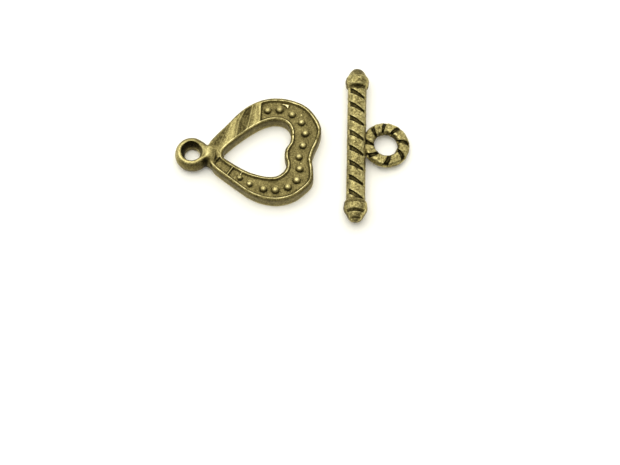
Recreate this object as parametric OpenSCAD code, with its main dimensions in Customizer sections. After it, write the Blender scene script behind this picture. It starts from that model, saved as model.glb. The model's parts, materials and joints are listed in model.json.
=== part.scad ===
// A toggle clasp for a necklace or bracelet, cast in two loose pieces. One is a lopsided
// heart-shaped loop with an eye at its tip. The other is a bar with a spiral groove, a knob
// at each end and a rope-patterned ring cast on its side. Both lie on the plane z = 0.
// The origin is under the middle of the pair. The heart points along +X, the bar along +Y.

/* [Heart] */
// Length of the loop from its neck to the far lobe
heart_l = 15.1; // [13:0.1:18]
// Width of the loop over both lobes
heart_w = 14.75; // [13:0.05:18]
// Thickness of the cast band
heart_t = 2; // [1.6:0.1:3]
// Width of the band at its widest place
band_w = 3.9; // [3.4:0.1:4.3]
// Rounding of the band's upper edges
edge_r = 0.26; // [0.1:0.02:0.34]
// Chamfer along the band's lower edges
back_edge = 0.12; // [0.04:0.02:0.3]
// Width of the flat crest on each raised rim
rim_w = 0.15; // [0.08:0.01:0.25]
// Depth of the channel below the rims
channel_d = 0.35; // [0.2:0.05:0.8]
// Width of the slope from a rim down to the channel's floor
slope_w = 0.14; // [0.05:0.01:0.2]

/* [Heart's ornament] */
// Number of round beads along the channel
bead_n = 14; // [5:1:16]
// Diameter of the beads
bead_d = 0.92; // [0.5:0.02:1.1]
// Diameter of the last bead, which sits on a cross bar
last_bead_d = 0.64; // [0.4:0.02:0.9]
// Depth of each bead's middle below the channel's floor
bead_sink = 0.05; // [0.01:0.01:0.15]
// Width of the cross bars in the lower arm's channel
cross_w = 0.2; // [0.12:0.02:0.4]
// Width of the deep flute across the upper arm
flute_w = 1; // [0.6:0.05:1.3]
// Depth of the deep flute
flute_d = 0.26; // [0.1:0.02:0.45]
// Width of the shallow flute next to the neck
low_flute_w = 0.8; // [0.5:0.05:1.1]
// Depth of the shallow flute
low_flute_d = 0.12; // [0.08:0.02:0.3]

/* [Eye] */
// Diameter of the hole through the eye at its waist
eye_hole_d = 2; // [1.4:0.1:2.6]
// Width of the eye's ring between hole and outside
eye_wall = 1.26; // [0.9:0.02:1.6]
// Height of the eye
eye_h = 2.3; // [1.8:0.1:3]
// Length of the straight waist in the hole
eye_land = 0.6; // [0.3:0.05:0.8]
// Height of the waist's lower end above the back
eye_waist_z = 0.4; // [0.2:0.05:0.7]
// Depth by which the neck runs into the eye's ring
neck_bite = 0.56; // [0.3:0.02:0.8]

/* [Bar] */
// Length of the bar over both knobs
bar_l = 21.9; // [18:0.1:26]
// Diameter of the grooved shaft
shaft_d = 2.48; // [2:0.02:2.8]
// Diameter of the collars, on which the bar rests
collar_d = 3.14; // [2.9:0.02:3.4]
// Length of each knob, collar and domed cap together
knob_l = 2.95; // [2.4:0.05:3.4]
// Distance along the shaft from one groove to the next
spiral_pitch = 2.08; // [1.8:0.01:2.8]
// Number of grooves that wind side by side
spiral_starts = 2; // [1:1:3]
// Place of one groove on the shaft's crest, measured from the bar's middle
spiral_start = 0.66; // [-1:0.02:1]
// Half width of the grooves in shaft and ring
groove_w = 0.32; // [0.2:0.02:0.45]
// Depth of the grooves in the shaft
groove_d = 0.26; // [0.1:0.02:0.34]

/* [Ring on the bar] */
// Diameter of the ring's hole
ring_hole_d = 3; // [2:0.1:3.6]
// Thickness of the ring's rope
ring_wire_d = 1.58; // [1.2:0.02:1.7]
// Distance from the bar's axis to the middle of the ring
ring_reach = 3.87; // [3.3:0.01:4]
// Distance of the ring from the bar's middle, along the bar
ring_shift = 0.2; // [-2:0.05:2]
// Thickness of the root that carries the ring on the shaft
ring_root_d = 0.6; // [0.4:0.05:0.8]
// Number of turns of the groove around the ring
ring_turns = 8; // [5:1:10]
// Depth of the grooves in the ring
ring_groove_d = 0.26; // [0.1:0.02:0.34]
// Turn of the grooves around the ring, in degrees
ring_groove_turn = 6; // [0:1:45]
// Length of the straight wall inside the ring's hole
ring_land = 0.5; // [0.3:0.05:0.7]
// Height by which that wall stands in from the rope
land_step = 0.04; // [0.02:0.01:0.08]
// Spread of that wall at its back, inside the rope
land_flare = 0.15; // [0.05:0.01:0.2]

/* [How they lie] */
// Gap between the heart's far lobe and the bar's collars
piece_gap = 3.02; // [1:0.02:6]
// Distance by which the eye lies below the bar's middle
eye_drop = 1.2; // [-3:0.02:3]
// Turn of the bar away from square to the heart, in degrees
bar_turn = -1.45; // [-4:0.01:4]

/* [Hidden] */

eye_r = eye_hole_d / 2 + eye_wall;
neck_x = eye_r - neck_bite;
collar_r = collar_d / 2;
shaft_r = shaft_d / 2;
wire_r = ring_wire_d / 2;
ring_r = ring_hole_d / 2 + land_step + wire_r; // to the middle of the rope
shaft_l = bar_l - 2 * knob_l;

// The bar lies on its collars and rolls until the ring's far side touches the plane
bar_roll = asin((collar_r - wire_r) / (ring_reach + ring_r));
total_l = eye_r + neck_x + heart_l + piece_gap + collar_r
    + (ring_reach + ring_r) * cos(bar_roll) + wire_r;
eye_x = eye_r - total_l / 2;
bar_x = eye_x + neck_x + heart_l + piece_gap + collar_r;

// The heart's band, station by station from the neck over the upper lobe and back.
// Columns: outer edge along the heart (share of heart_l), outer edge across it (share of
// heart_w), width to the inner edge (share of band_w), direction of that width in degrees
BAND = [
    [0.000, -0.010, 0.597, -5],
    [0.023, 0.068, 0.584, -19],
    [0.089, 0.158, 0.580, -37],
    [0.186, 0.266, 0.627, -52],
    [0.285, 0.380, 0.745, -64],
    [0.384, 0.461, 0.823, -74],
    [0.497, 0.514, 0.852, -85],
    [0.616, 0.530, 0.845, -97],
    [0.742, 0.510, 0.857, -111],
    [0.866, 0.451, 0.934, -129],
    [0.952, 0.349, 0.997, -147],
    [1.000, 0.233, 1.062, -163],
    [0.984, 0.125, 0.995, -172],
    [0.944, 0.024, 0.974, -180],
    [0.921, -0.068, 0.916, -186],
    [0.931, -0.169, 0.926, -196],
    [0.927, -0.268, 0.987, -205],
    [0.874, -0.346, 0.971, -214],
    [0.764, -0.434, 0.951, -232],
    [0.629, -0.470, 0.929, -249],
    [0.497, -0.453, 0.871, -262],
    [0.377, -0.399, 0.769, -271],
    [0.271, -0.320, 0.636, -283],
    [0.172, -0.241, 0.557, -297],
    [0.086, -0.169, 0.537, -320],
    [0.023, -0.088, 0.563, -348],
];
stations = len(BAND);
steps = 4; // sections from one station to the next

// The channel starts in the lower arm and ends at a wall in the upper lobe (station numbers)
channel_from = 5.75;
channel_to = 24.5;
end_wall = 0.06; // length of its end walls, in stations
bead_from = 6.3;
bead_to = 21.9;
crosses = [21.9, 22.85];
cross_drop = 0.06; // the cross bars' tops lie this far below the rims
floor_points = 3;

// The flutes across the upper arm.
// Columns: station and share of the width where it starts, the same where it ends, width, depth
FLUTES = [
    [4.85, 0.08, 3.15, 0.96, flute_w, flute_d],
    [2.75, 0.10, 0.90, 0.45, low_flute_w, low_flute_d],
];

// A knob from its tip to the shaft.
// Columns: distance from the tip (share of knob_l), radius (share of the collar's radius)
KNOB = [
    [0.00, 0.20],
    [0.035, 0.39],
    [0.09, 0.49],
    [0.14, 0.57],
    [0.20, 0.64],
    [0.26, 0.70],
    [0.32, 0.75],
    [0.38, 0.81],
    [0.43, 0.88],
    [0.50, 0.95],
    [0.56, 0.98],
    [0.62, 1.00],
    [0.70, 0.985],
    [0.78, 0.965],
    [0.85, 0.95],
    [0.90, 0.90],
    [0.95, 0.84],
];
dome_groove = 0.38; // middle of the groove between dome and collar, as a share of knob_l
dome_groove_d = 0.12;
eye_crest = 0.28; // place of the eye's highest line, as a share of its wall
shaft_step = 0.19; // distance between two rings of the shaft's skin
sides = 24; // round the shaft
rope_sides = 12; // round the ring's rope
rope_steps = 6; // along the ring from groove to groove

// Grooves fade out at the two flat lines left by the mould's halves
fade_from = 0.2;
fade_to = 0.5;

eye_arc = 15; // degrees between points of the eye's profile

function unit(a) = [cos(a), sin(a)];
function clamp01(v) = max(0, min(1, v));
function fade(a) = clamp01((abs(cos(a)) - fade_from) / (fade_to - fade_from));
// Depth of a groove, from 1 on its middle line to 0 at its half width
function groove(turns, pitch) =
    let (share = turns - floor(turns), off = min(share, 1 - share) * pitch)
    off < groove_w ? (1 + cos(180 * off / groove_w)) / 2 : 0;

// A smooth closed curve through the points p, at station t
function blend(a, b, c, d, u) =
    0.5 * (2 * b + (c - a) * u + (2 * a - 5 * b + 4 * c - d) * u * u + (3 * b - a - 3 * c + d) * u * u * u);
function curve(p, t) =
    let (n = len(p), i = floor(t), u = t - i)
    blend(p[(i + n - 1) % n], p[i % n], p[(i + 1) % n], p[(i + 2) % n], u);

outer_points = [for (r = BAND) [neck_x + r[0] * heart_l, r[1] * heart_w]];
inner_points = [for (i = [0:stations - 1]) outer_points[i] + band_w * BAND[i][2] * unit(BAND[i][3])];

// The point at station t, at a share of the way from the outer to the inner edge
function across(t, share) =
    curve(outer_points, t) * (1 - share) + curve(inner_points, t) * share;

// Triangles of a skin over n rings of m points. Past the last point of a ring the skin goes on
// in the ring that lies shift rings further. A closed skin joins its last ring to its first.
function skin(n, m, closed = false, shift = 0) = [
    for (i = [0:n - (closed ? 1 : 2)], j = [0:m - 1])
        let (turn = j == m - 1 ? shift : 0, next = (j + 1) % m,
            a = i * m + j, b = ((i + turn) % n) * m + next,
            c = ((i + 1 + turn) % n) * m + next, d = ((i + 1) % n) * m + j)
        each [[a, b, c], [a, c, d]]
];

// Cross section of the band, as distance from the outer edge and height.
// It is w wide, and its top lies depth below the rims between them.
function band_section(w, depth) =
    let (rim = edge_r + rim_w, inside = rim + slope_w, low = heart_t - depth, bevel = 0.3 * edge_r)
    [
        [w - back_edge, 0], [w, back_edge],
        [w, heart_t - edge_r], [w - bevel, heart_t - bevel], [w - edge_r, heart_t], [w - rim, heart_t],
        for (k = [floor_points + 1:-1:0]) [inside + (w - 2 * inside) * k / (floor_points + 1), low],
        [rim, heart_t], [edge_r, heart_t], [bevel, heart_t - bevel], [0, heart_t - edge_r],
        [0, back_edge], [back_edge, 0],
    ];

module band() {
    times = [
        for (k = [0:stations * steps - 1])
            let (t = k / steps)
            each t == channel_from ? [t, t + end_wall] : t == channel_to ? [t - end_wall, t] : [t]
    ];
    sections = [
        for (t = times)
            let (o = across(t, 0), i = across(t, 1), w = norm(i - o), d = (i - o) / w,
                depth = t > channel_from && t < channel_to ? channel_d : 0)
            [for (p = band_section(w, depth)) [o.x + d.x * p[0], o.y + d.y * p[0], p[1]]]
    ];
    polyhedron(
        points = [for (s = sections) each s],
        faces = skin(len(sections), len(sections[0]), closed = true),
        convexity = 8
    );
}

// Beads at even steps along the middle of the channel
module beads() {
    parts = 60;
    marks = [for (k = [0:parts]) bead_from + (bead_to - bead_from) * k / parts];
    gaps = [for (k = [1:parts]) norm(across(marks[k], 0.5) - across(marks[k - 1], 0.5))];
    run = [for (k = 0, s = 0; k <= parts; s = s + (k < parts ? gaps[k] : 0), k = k + 1) [s, marks[k]]];
    for (k = [0:bead_n - 1]) {
        p = across(lookup(run[parts][0] * k / (bead_n - 1), run), 0.5);
        translate([p.x, p.y, heart_t - channel_d - bead_sink])
            sphere(d = k == bead_n - 1 ? last_bead_d : bead_d, $fn = 32);
    }
}

// Thin bars across the channel, from rim to rim
module cross_bars() {
    for (t = crosses) {
        o = across(t, 0);
        i = across(t, 1);
        mid = (o + i) / 2;
        h = channel_d - cross_drop + bead_sink;
        translate([mid.x, mid.y, heart_t - channel_d - bead_sink + h / 2])
            rotate(atan2(i.y - o.y, i.x - o.x))
            cube([norm(i - o) - 2 * edge_r, cross_w, h], center = true);
    }
}

// A spindle that cuts one flute: row of FLUTES
module flute(row) {
    a = across(row[0], row[1]);
    b = across(row[2], row[3]);
    w = row[4];
    depth = row[5];
    r = (w * w / 4 + depth * depth) / (2 * depth);
    l = norm(b - a);
    mid = (a + b) / 2;
    translate([mid.x, mid.y, heart_t - depth + r])
        rotate([0, 90, atan2(b.y - a.y, b.x - a.x)])
        rotate_extrude($fn = 48)
        polygon([
            [0, -l / 2], [r - depth, -l / 2], [r - depth / 4, -l * 0.4], [r, -l * 0.2],
            [r, l * 0.2], [r - depth / 4, l * 0.4], [r - depth, l / 2], [0, l / 2],
        ]);
}

// The eye's ring, rounded all over, with a straight waist in its hole
module eye() {
    hole_r = eye_hole_d / 2;
    crest_r = hole_r + eye_wall * eye_crest;
    waist_top = eye_waist_z + eye_land;
    rotate_extrude($fn = 72)
        polygon([
            for (a = [-90:eye_arc:90])
                [crest_r + (eye_r - crest_r) * cos(a), eye_h / 2 * (1 + sin(a))],
            for (a = [90 + eye_arc:eye_arc:180])
                [crest_r + (crest_r - hole_r) * cos(a), waist_top + (eye_h - waist_top) * sin(a)],
            for (a = [180:eye_arc:270 - eye_arc])
                [crest_r + (crest_r - hole_r) * cos(a), eye_waist_z * (1 + sin(a))],
        ]);
}

module heart_loop() {
    color([0.49, 0.45, 0.29])
        translate([eye_x, -eye_drop, 0])
        union() {
            difference() {
                band();
                for (row = FLUTES) flute(row);
            }
            beads();
            cross_bars();
            eye();
        }
}

// Radius of a knob at a distance from its tip, facing the angle a from its crest
function knob_r(s, a) =
    lookup(s, KNOB) * collar_r - dome_groove_d * fade(a) * (abs(s - dome_groove) < 0.02 ? 1 : 0);

// The turned shape of the bar along Y: knob, grooved shaft, knob
module shaft() {
    half = bar_l / 2;
    rings = ceil(shaft_l / shaft_step);
    knob_y = [for (r = KNOB) half - r[0] * knob_l];
    marks = concat(
        knob_y,
        [for (k = [0:rings]) shaft_l / 2 - shaft_l * k / rings],
        [for (k = [len(KNOB) - 1:-1:0]) -knob_y[k]]
    );
    skin_rings = [
        for (y = marks)
            [
                for (k = [0:sides - 1])
                    let (
                        a = 360 * k / sides,
                        from_tip = (half - abs(y)) / knob_l,
                        turns = (y - spiral_start) / spiral_pitch + spiral_starts * (a > 180 ? a - 360 : a) / 360,
                        r = from_tip < 1 - 0.01
                            ? knob_r(from_tip, a)
                            : shaft_r - groove_d * fade(a) * groove(turns, spiral_pitch)
                    )
                    [r * sin(a), y, r * cos(a)]
            ]
    ];
    n = len(marks);
    polyhedron(
        points = [for (s = skin_rings) each s],
        faces = concat(
            skin(n, sides),
            [[for (k = [0:sides - 1]) k]],
            [[for (k = [sides - 1:-1:0]) (n - 1) * sides + k]]
        ),
        convexity = 6
    );
}

// The rope of the ring, whose groove winds around it once for each turn
module rope() {
    n = ring_turns * rope_steps;
    lead = 360 / ring_turns;
    points = [
        for (i = [0:n - 1], k = [0:rope_sides - 1])
            let (
                a = 360 * k / rope_sides,
                turns = i / rope_steps,
                r = wire_r - ring_groove_d * fade(a - 90) * groove(turns, ring_r * PI * lead / 180),
                to = ring_groove_turn + 360 * i / n + lead * (a - 90) / 360,
                reach = ring_r + r * cos(a)
            )
            [reach * cos(to), reach * sin(to), r * sin(a)]
    ];
    polyhedron(
        points = points,
        faces = skin(n, rope_sides, closed = true, shift = rope_steps),
        convexity = 6
    );
}

// The straight wall inside the ring's hole
module ring_wall() {
    hole_r = ring_hole_d / 2;
    back = hole_r + land_step + wire_r / 2;
    flare = ring_land / 2 + land_flare;
    rotate_extrude($fn = 72)
        polygon([
            [hole_r, -ring_land / 2], [back, -flare], [back, flare], [hole_r, ring_land / 2],
        ]);
}

// The root that carries the ring, from the shaft's middle line to the rope's
module ring_root() {
    rotate([0, 90, 0])
        cylinder(d = ring_root_d, h = ring_reach - ring_r, $fn = 32);
}

module toggle_bar() {
    color([0.51, 0.47, 0.3])
        translate([bar_x, 0, collar_r])
        rotate([0, bar_roll, bar_turn])
        union() {
            shaft();
            translate([0, ring_shift, 0]) ring_root();
            translate([ring_reach, ring_shift, 0]) {
                rope();
                ring_wall();
            }
        }
}

heart_loop();
toggle_bar();
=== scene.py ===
# A toggle clasp cast in antique brass: a lopsided heart-shaped loop with an eye, and a bar
# with a spiral groove and a rope-patterned ring. Both lie side by side on a pale table.
import json
import math

import bmesh
import bpy
import numpy as np
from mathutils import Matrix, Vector
from mathutils.kdtree import KDTree


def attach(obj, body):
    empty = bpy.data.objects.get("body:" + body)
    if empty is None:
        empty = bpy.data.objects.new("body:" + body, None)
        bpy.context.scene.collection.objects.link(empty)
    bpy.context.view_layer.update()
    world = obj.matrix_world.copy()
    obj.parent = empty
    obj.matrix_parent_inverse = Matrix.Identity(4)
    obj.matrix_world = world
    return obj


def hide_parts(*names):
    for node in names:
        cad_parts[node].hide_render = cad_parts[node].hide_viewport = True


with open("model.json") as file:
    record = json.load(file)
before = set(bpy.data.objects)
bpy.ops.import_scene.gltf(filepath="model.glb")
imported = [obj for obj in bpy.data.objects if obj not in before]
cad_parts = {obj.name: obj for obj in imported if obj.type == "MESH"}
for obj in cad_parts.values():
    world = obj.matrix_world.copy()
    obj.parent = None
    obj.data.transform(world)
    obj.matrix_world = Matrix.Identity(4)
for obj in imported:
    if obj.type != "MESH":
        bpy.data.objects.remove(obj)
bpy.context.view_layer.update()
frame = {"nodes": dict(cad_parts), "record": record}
mm = 0.001

mounts = {m["name"]: m for m in frame["record"]["mounts"]}
eyePlace = np.array(mounts["heart_eye"]["pos_m"]) / mm
ringPlace = np.array(mounts["bar_ring"]["pos_m"]) / mm
ringAxis = np.array(mounts["bar_ring"]["axis"])
print("frame loaded, nodes:", sorted(frame["nodes"]))


# Shapes: all in millimetres until a piece is finished

def ease(v):
    # 0 below 0, 1 above 1, and 3v^2 - 2v^3 between
    v = np.clip(v, 0, 1)
    return v * v * (3 - 2 * v)


def softMax(a, b, soft):
    # The larger of two heights, rounded over a height of soft where they cross
    share = np.clip(0.5 + 0.5 * (a - b) / soft, 0, 1)
    return b + (a - b) * share + soft * share * (1 - share)


def softMin(a, b, soft):
    # The smaller of two heights, rounded in the same way
    return -softMax(-a, -b, soft)


def fadeIn(v, start, over):
    # 0 up to start, 1 from start + over on, eased between them
    return ease((v - start) / over)


def fadeOut(v, end, over):
    # 1 up to end - over, 0 from end on, eased between them
    return ease((end - v) / over)


def bell(v, at, half):
    # 1 at a place and exp(-(distance / half)^2) on both sides of it
    return np.exp(-((v - at) / half) ** 2)


def turnSteps(count):
    # Even steps round a full turn, in radians
    return np.arange(count) * 2 * np.pi / count


def grain(points, size, seed):
    # Random values from -1 to 1 at the corners of cubes of that size, eased from corner to corner
    count = 32  # cubes after which the pattern repeats
    lattice = np.random.default_rng(seed).random((count, count, count)) * 2 - 1
    place = points / size + 4 * count
    cell = np.floor(place).astype(int)
    part = ease(place - cell)
    total = 0
    for corner in range(8):
        step = np.array([corner & 1, corner >> 1 & 1, corner >> 2 & 1])
        i, j, k = np.moveaxis((cell + step) % count, -1, 0)
        total = total + lattice[i, j, k] * np.prod(np.where(step, part, 1 - part), axis=-1)
    return total


def grains(points, rows):
    # A sum of grains. Columns: height, size, seed
    return sum(height * grain(points, size, seed) for height, size, seed in rows)


def closedCurve(points, t):
    # A cubic through the two points on each side of t, so the curve passes through every point
    i = np.floor(t).astype(int)
    u = (t - i)[:, None]
    a, b, c, d = (points[(i + k) % len(points)] for k in (-1, 0, 1, 2))
    squared = 2 * a - 5 * b + 4 * c - d
    cubed = 3 * b - a - 3 * c + d
    return 0.5 * (2 * b + (c - a) * u + squared * u**2 + cubed * u**3)


def toSegment(x, y, ax, ay, bx, by):
    # Distance in plan from each point to the line from a to b
    dx, dy = bx - ax, by - ay
    share = np.clip(((x - ax) * dx + (y - ay) * dy) / (dx * dx + dy * dy), 0, 1)
    return np.hypot(x - ax - dx * share, y - ay - dy * share)


def fromSpot(x, y, spot):
    # Distance from the middle of a spot, in its half sizes
    along, across, halfAlong, halfAcross = spot
    return np.hypot((x - along) / halfAlong, (y - across) / halfAcross)


def gridFaces(rows, columns, closed):
    # Faces between each row and the next, round each row. They face outwards where next row x
    # next point points out. A closed grid joins its last row to its first.
    i, j = np.meshgrid(np.arange(rows if closed else rows - 1), np.arange(columns), indexing="ij")
    after = (j + 1) % columns
    row, below = i * columns, (i + 1) % rows * columns
    return np.stack([row + j, below + j, below + after, row + after], axis=-1).reshape(-1, 4)


def poleCaps(rows, columns):
    # The rings of points at both ends of an open grid, in the order that faces outwards
    last = (rows - 1) * columns
    return [np.arange(columns), np.arange(last + columns - 1, last - 1, -1)]


def addObject(name, data):
    thing = bpy.data.objects.new(name, data)
    bpy.context.scene.collection.objects.link(thing)
    return thing


def makeMesh(name, points, paint, closed):
    # A mesh from a grid of points, with its paint value at each. An open grid gets a cap at each end.
    mesh = bpy.data.meshes.new(name)
    quads = gridFaces(*paint.shape, closed)
    caps = [] if closed else poleCaps(*paint.shape)
    loops = np.concatenate([quads.ravel(), *caps]).astype(np.int32)
    sizes = np.concatenate([np.full(len(quads), 4), [len(c) for c in caps]]).astype(np.int32)
    mesh.vertices.add(paint.size)
    mesh.vertices.foreach_set("co", points.astype(np.float32).ravel())
    mesh.loops.add(len(loops))
    mesh.loops.foreach_set("vertex_index", loops)
    mesh.polygons.add(len(sizes))
    starts = np.concatenate([[0], np.cumsum(sizes)[:-1]])
    mesh.polygons.foreach_set("loop_start", starts.astype(np.int32))
    mesh.update(calc_edges=True)
    writeAttribute(mesh, "paint", paint.ravel())
    return addObject(name, mesh)


def readAttribute(mesh, label):
    data = np.empty(len(mesh.vertices), np.float32)
    mesh.attributes[label].data.foreach_get("value", data)
    return data.astype(float)


def writeAttribute(mesh, label, values):
    if label not in mesh.attributes:
        mesh.attributes.new(label, "FLOAT", "POINT")
    mesh.attributes[label].data.foreach_set("value", values.astype(np.float32))


def meshArrays(mesh):
    points = np.empty(len(mesh.vertices) * 3, np.float32)
    mesh.vertices.foreach_get("co", points)
    edges = np.empty(len(mesh.edges) * 2, np.int32)
    mesh.edges.foreach_get("vertices", edges)
    return points.reshape(-1, 3).astype(float), edges.reshape(-1, 2)


seams = {
    "isNew": 0.0001,  # mm, a point further than this from all points of the shapes is new
    "merge": 0.003,  # mm, shorter sides are closed up
    "smoothing": 0.6,  # share of the way to the neighbours' mean in each round
}


def splitSeams(mesh, isNew):
    # Faces that the union cut are made triangles while they are still flat. Before that, slivers
    # with very short sides are closed up, and after it, faces that lie back to back or have a
    # free edge are taken off.
    work = bmesh.new()
    work.from_mesh(mesh)
    work.verts.ensure_lookup_table()
    seam = [work.verts[i] for i in np.flatnonzero(isNew)]
    bmesh.ops.remove_doubles(work, verts=seam, dist=seams["merge"])
    seam = {near for vert in seam if vert.is_valid for face in vert.link_faces for near in face.verts}
    cut = [face for face in work.faces if any(vert in seam for vert in face.verts)]
    bmesh.ops.triangulate(work, faces=cut, quad_method="BEAUTY", ngon_method="BEAUTY")
    groups = {}
    for face in work.faces:
        groups.setdefault(frozenset(face.verts), []).append(face)
    stray = [face for group in groups.values() if len(group) > 1 for face in group]
    bmesh.ops.delete(work, geom=stray, context="FACES_ONLY")
    fins = [face for face in work.faces if any(edge.is_boundary for edge in face.edges)]
    bmesh.ops.delete(work, geom=fins, context="FACES_ONLY")
    bmesh.ops.delete(work, geom=[edge for edge in work.edges if not edge.link_faces], context="EDGES")
    bmesh.ops.delete(work, geom=[vert for vert in work.verts if not vert.link_edges], context="VERTS")
    openEdges = sum(len(edge.link_faces) != 2 for edge in work.edges)
    print("seam of", len(seam), "points split, faces taken off:", len(stray) + len(fins),
          "open edges left:", openEdges)
    work.to_mesh(mesh)
    work.free()


def fuse(main, others):
    # Exact union of closed shapes, as one mesh. Each of its points takes its paint, and the
    # number of the shape that it belongs to, from the nearest point of the shapes before.
    shapes = [main, *others]
    points = [meshArrays(shape.data)[0] for shape in shapes]
    paint = np.concatenate([readAttribute(shape.data, "paint") for shape in shapes])
    part = np.repeat(np.arange(len(shapes)), [len(p) for p in points])
    tree = KDTree(len(paint))
    for i, point in enumerate(np.concatenate(points)):
        tree.insert(point, i)
    tree.balance()
    for other in others:
        union = main.modifiers.new("union", "BOOLEAN")
        union.operation = "UNION"
        union.solver = "EXACT"
        union.object = other
    ready = main.evaluated_get(bpy.context.evaluated_depsgraph_get())
    main.data = bpy.data.meshes.new_from_object(ready)
    main.modifiers.clear()
    for other in others:
        bpy.data.objects.remove(other)
    away = np.array([tree.find(point)[2] for point in meshArrays(main.data)[0]])
    splitSeams(main.data, away > seams["isNew"])
    nearest = np.array([tree.find(point)[1] for point in meshArrays(main.data)[0]])
    writeAttribute(main.data, "paint", paint[nearest])
    writeAttribute(main.data, "part", part[nearest])


def neighbourMean(values, edges, count):
    # Mean over the points that share an edge with each point
    a, b = edges.T
    sums = [np.bincount(a, v[b], count) + np.bincount(b, v[a], count) for v in values.T]
    shares = np.bincount(a, minlength=count) + np.bincount(b, minlength=count)
    return np.stack(sums, axis=1) / np.maximum(shares, 1)[:, None]


def relax(values, edges, rounds, weight=0.5):
    # Each round moves every value by its weight towards the mean of its neighbours
    for _ in range(rounds):
        values = values + weight * (neighbourMean(values, edges, len(values)) - values)
    return values


def finishCasting(thing, cast):
    # Rounds the seams of the fused shapes as metal does in a mould, then gives each point its
    # tone = middle tone - range x hollow + paint. Hollow is how far it lies below the smoothed
    # shape, once finely and once broadly smoothed. So tone is low in hollows, where dark patina
    # stays, and high on crests, which were polished.
    mesh = thing.data
    points, edges = meshArrays(mesh)
    count = len(points)
    part = readAttribute(mesh, "part")
    a, b = edges[part[edges[:, 0]] != part[edges[:, 1]]].T
    near = np.zeros((count, 1))
    near[a], near[b] = 1, 1
    for _ in range(cast["seamRings"]):
        near = np.minimum(np.maximum(near, neighbourMean(near, edges, count) * cast["seamSpread"]), 1)
    points = relax(points, edges, cast["seamRounds"], weight=seams["smoothing"] * near)
    mesh.vertices.foreach_set("co", points.astype(np.float32).ravel())
    mesh.update()
    normals = np.empty(count * 3, np.float32)
    mesh.vertices.foreach_get("normal", normals)
    normals = normals.reshape(-1, 3)

    fineShape = relax(points, edges, cast["fineRounds"])
    broadShape = relax(fineShape, edges, cast["broadRounds"])
    fine = np.clip(np.sum((fineShape - points) * normals, axis=1) / cast["fineHollow"], -1, 1)
    broad = np.clip(np.sum((broadShape - points) * normals, axis=1) / cast["broadHollow"], -1, 1)
    hollow = fine * cast["fineShare"] + broad * cast["broadShare"]
    tone = cast["tone"] - hollow * cast["toneRange"] + readAttribute(mesh, "paint")
    writeAttribute(mesh, "tone", np.clip(relax(tone[:, None], edges, 1)[:, 0], 0, 1))

    mesh.vertices.foreach_set("co", (points * mm).astype(np.float32).ravel())
    for label in ("paint", "part"):
        mesh.attributes.remove(mesh.attributes[label])
    mesh.polygons.foreach_set("use_smooth", np.ones(len(mesh.polygons), bool))
    mesh.update()
    corners = np.empty(len(mesh.polygons), np.int32)
    mesh.polygons.foreach_get("loop_total", corners)
    print(thing.name, "has", count, "points,", int(np.sum(corners - 2)), "triangles")


# Materials

def hexColour(text):
    # An sRGB hex colour as linear light
    channels = [int(text[i:i + 2], 16) / 255 for i in (0, 2, 4)]
    return [c / 12.92 if c <= 0.04045 else ((c + 0.055) / 1.055) ** 2.4 for c in channels] + [1]


def addNode(tree, kind, settings=None, values=None, links=None):
    node = tree.nodes.new(kind)
    for key, value in (settings or {}).items():
        setattr(node, key, value)
    for key, value in (values or {}).items():
        node.inputs[key].default_value = value
    for key, source in (links or {}).items():
        tree.links.new(source, node.inputs[key])
    return node


def emptyTree(owner):
    # The node tree of a material or a world, with nothing in it yet
    owner.use_nodes = True
    owner.node_tree.nodes.clear()
    return owner.node_tree


brass = {
    "ramp": [(0.0, "1a170c"), (0.22, "40391d"), (0.45, "7d7246"), (0.68, "b8ac70"), (1.0, "f8ebac")],
    # Size in mm, detail, and how much each moves the tone
    "noise": {
        "patches": [1.6, 2.0, 0.25],  # duller and brighter patches
        "mottle": [0.22, 3.0, 0.38],  # the cast skin's mottling
        "grit": [0.12, 2.0, 0.55],  # the finest grain, drawn coarser than it is so that it shows
        "scratches": [0.05, 1.0, 0.12],  # the width of the polishing lines
    },
    "scratchScale": (1, 0.08, 1),  # draws that noise out into lines along the bar
    "scratchTurn": (0, 0, 0.4),  # radians, turns the noise before it is drawn out
    # Which noise, strength, and height in mm
    "bumps": [["mottle", 0.5, 0.02], ["grit", 0.5, 0.012], ["scratches", 0.25, 0.004]],
    "dullRough": 0.64,
    "brightRough": 0.42,
    "gritRough": 0.12,
}


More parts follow.
